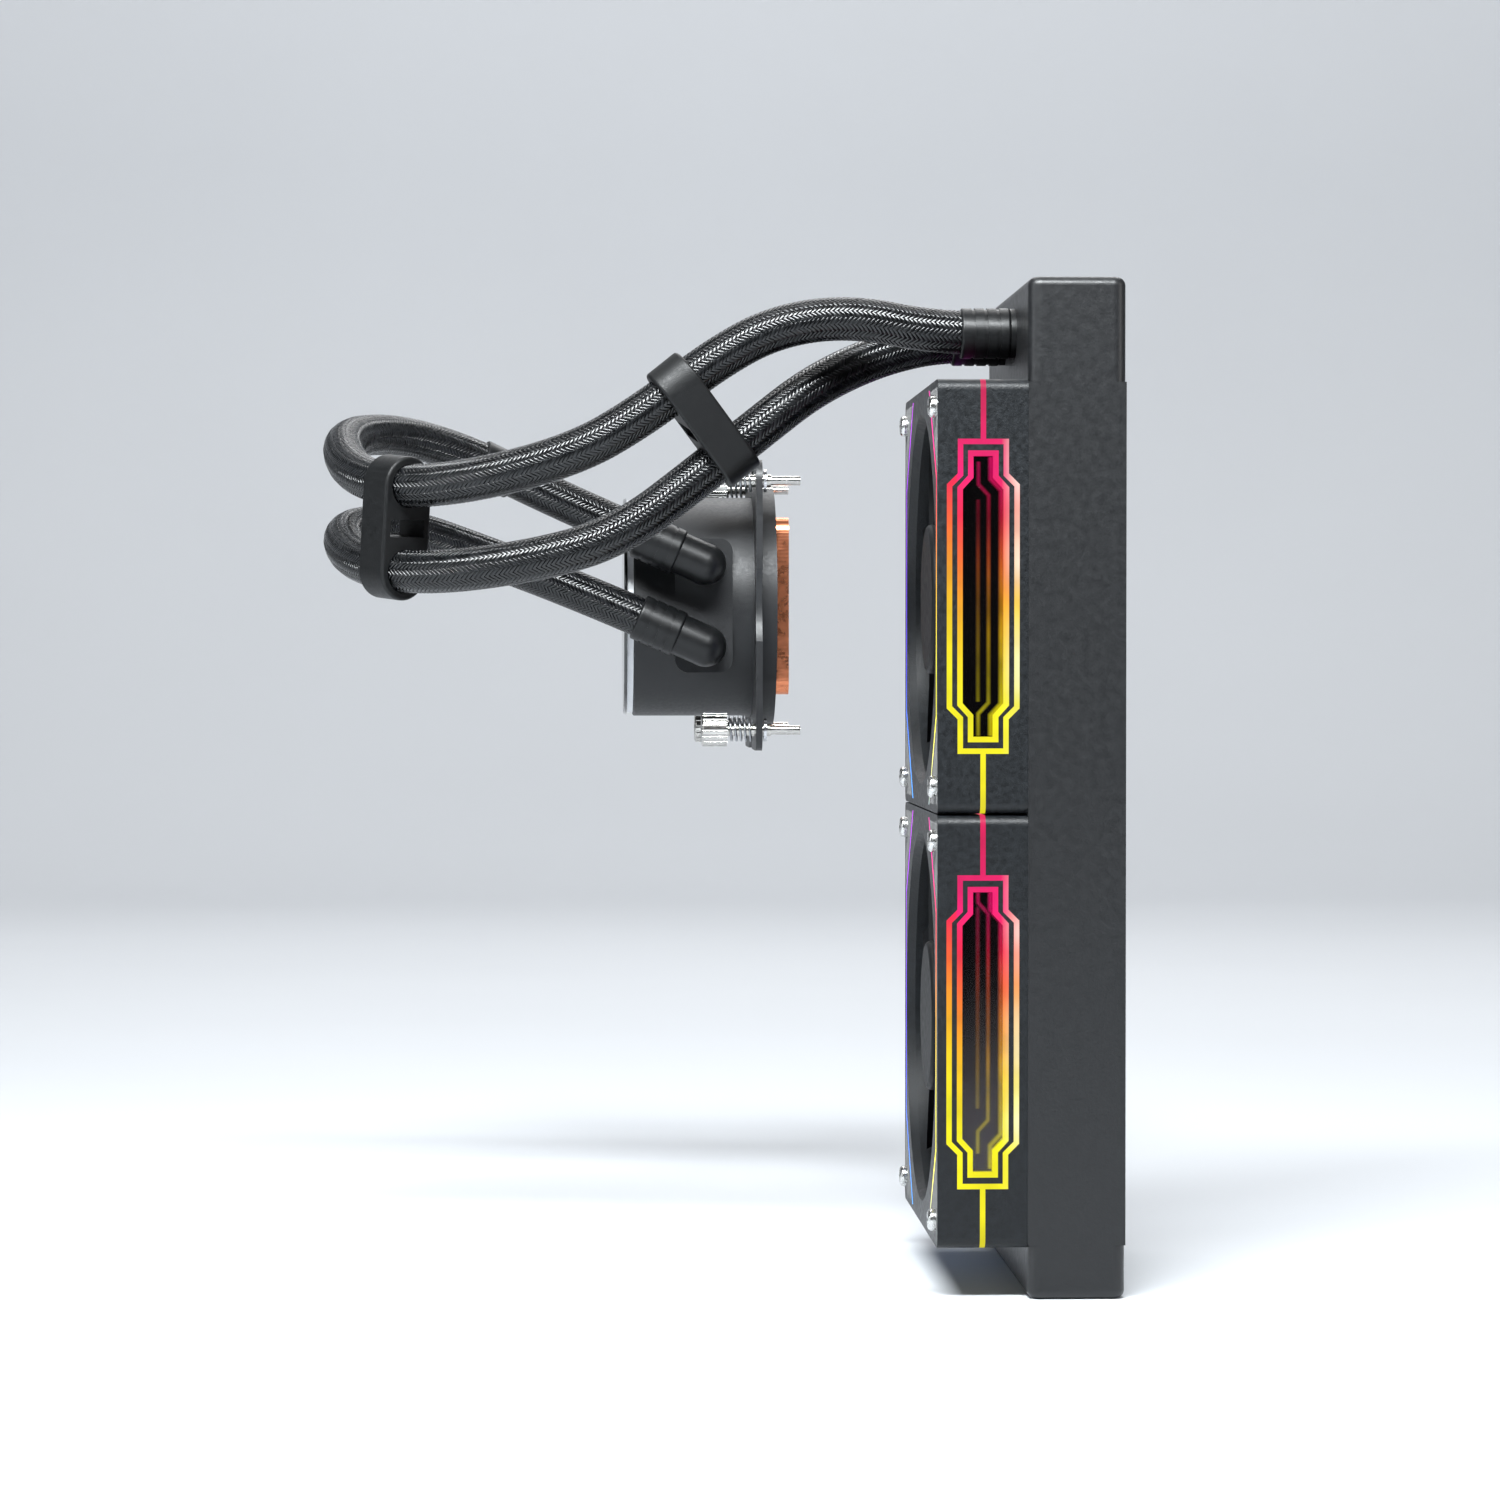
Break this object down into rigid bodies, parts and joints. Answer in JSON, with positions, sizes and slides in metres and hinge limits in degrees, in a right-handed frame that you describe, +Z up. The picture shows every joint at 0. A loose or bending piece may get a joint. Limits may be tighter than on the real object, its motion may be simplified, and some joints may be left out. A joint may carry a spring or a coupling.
{
  "type": "closed-loop liquid cooler",
  "caption": "Closed-loop liquid cooler: long slim radiator with square lit fans, braided hoses in a loop and a round pump head on a cold plate.",
  "frame": {"origin": "centre of the outer bolt rectangle on the radiator's case face", "axes": "+X out of the case face, away from the fans; +Y across the radiator, towards the pump head; +Z up along the radiator, towards the ports"},
  "size_m": [0.2262, 0.258, 0.282],
  "materials": {
    "radiator_paint": "fine powder coat, satin black",
    "fin_aluminium": "black-coated aluminium",
    "fan_plastic": "fine-grained moulded plastic",
    "rotor_plastic": "satin moulded plastic",
    "face_light": "lit diffuser, pink to yellow",
    "side_light": "lit diffuser, magenta to yellow",
    "dark_mirror": "dark mirror behind the window",
    "smoked_glass": "smoked clear plastic",
    "led_board": "white LED board",
    "circuit_board": "solder-masked board",
    "copper": "enamelled copper wire",
    "laminated_steel": "stacked laminations",
    "magnet": "ferrite",
    "bearing_steel": "ground steel",
    "spring_steel": "drawn wire",
    "screw_steel": "zinc-plated, worn edges",
    "thumb_screw": "nickel-plated, knurled",
    "fan_rubber": "moulded rubber",
    "seal_rubber": "smooth rubber",
    "hose_rubber": "smooth black rubber",
    "braid": "tight nylon braid",
    "hose_fittings": "satin black moulding",
    "clip_plastic": "matte black moulding",
    "pump_plastic": "fine-grained moulded plastic",
    "pump_inner_plastic": "glass-filled moulding",
    "pump_cap": "glossy black",
    "light_diffuser": "milky diffuser, unlit",
    "bracket_steel": "black-coated sheet steel",
    "cold_plate_copper": "machined copper",
    "brass_contacts": "plated contacts"
  },
  "bodies": {
    "cooler": {"fan_bearings": "bearing_steel", "fan_circuit_boards": "circuit_board", "fan_coils": "copper", "fan_corner_pads": "fan_rubber", "fan_led_boards": "led_board", "fan_screws": "screw_steel", "fan_side_mirrors": "dark_mirror", "fan_side_windows": "smoked_glass", "fan_stator_cores": "laminated_steel", "upper_fan_face_lights": "face_light", "lower_fan_face_lights": "face_light", "upper_fan_side_lights": "side_light", "lower_fan_side_lights": "side_light", "upper_fan_frame": "fan_plastic", "lower_fan_frame": "fan_plastic", "hose_collar": "hose_fittings", "hose_ferrules": "hose_fittings", "hose_loop_clip": "clip_plastic", "hose_middle_clip": "clip_plastic", "upper_hose_liner": "hose_rubber", "lower_hose_liner": "hose_rubber", "upper_hose_sleeve": "braid", "lower_hose_sleeve": "braid", "pump_base_frame": "pump_plastic", "pump_bracket": "bracket_steel", "pump_circuit_board": "circuit_board", "pump_coils": "copper", "pump_cold_plate": "cold_plate_copper", "pump_cold_plate_screws": "screw_steel", "pump_cold_plate_seal": "seal_rubber", "pump_elbow_seals": "seal_rubber", "pump_elbows": "hose_fittings", "pump_flow_plate": "pump_inner_plastic", "pump_housing": "pump_plastic", "pump_inlet_pins": "brass_contacts", "pump_light_ring": "light_diffuser", "pump_screw_springs": "spring_steel", "pump_separator_cup": "pump_inner_plastic", "pump_shaft": "bearing_steel", "pump_stator_core": "laminated_steel", "pump_top_cap": "pump_cap", "radiator_bottom_tank": "radiator_paint", "radiator_fill_plug": "thumb_screw", "radiator_fill_plug_seal": "seal_rubber", "radiator_fins": "fin_aluminium", "radiator_flat_tubes": "fin_aluminium", "radiator_header_plates": "radiator_paint", "radiator_ports": "hose_fittings", "radiator_side_channels": "radiator_paint", "radiator_top_tank": "radiator_paint"},
    "upper_fan_rotor": {"upper_fan_rotor": "rotor_plastic", "upper_fan_shaft": "bearing_steel", "upper_fan_magnet_ring": "magnet"},
    "lower_fan_rotor": {"lower_fan_rotor": "rotor_plastic", "lower_fan_shaft": "bearing_steel", "lower_fan_magnet_ring": "magnet"},
    "pump_rotor": {"pump_impeller": "pump_inner_plastic", "pump_magnet_ring": "magnet"},
    "captive_screws": {"pump_captive_screws": "thumb_screw", "pump_retaining_rings": "bearing_steel"}
  },
  "joints": [
    {"name": "upper_fan_spin", "type": "hinge", "parent": "cooler", "child": "upper_fan_rotor", "pos_m": [-0.0395, 0, 0.06], "axis": [1, 0, 0], "continuous": true},
    {"name": "lower_fan_spin", "type": "hinge", "parent": "cooler", "child": "lower_fan_rotor", "pos_m": [-0.0395, 0, -0.06], "axis": [1, 0, 0], "continuous": true},
    {"name": "pump_spin", "type": "hinge", "parent": "cooler", "child": "pump_rotor", "pos_m": [-0.114, 0.1525, 0.05964], "axis": [1, 0, 0], "continuous": true},
    {"name": "captive_screw_press", "type": "slide", "parent": "cooler", "child": "captive_screws", "axis": [1, 0, 0], "range_m": [0, 0.0035], "stiffness_N_per_m": 3000, "deforming": ["pump_screw_springs"]}
  ]
}
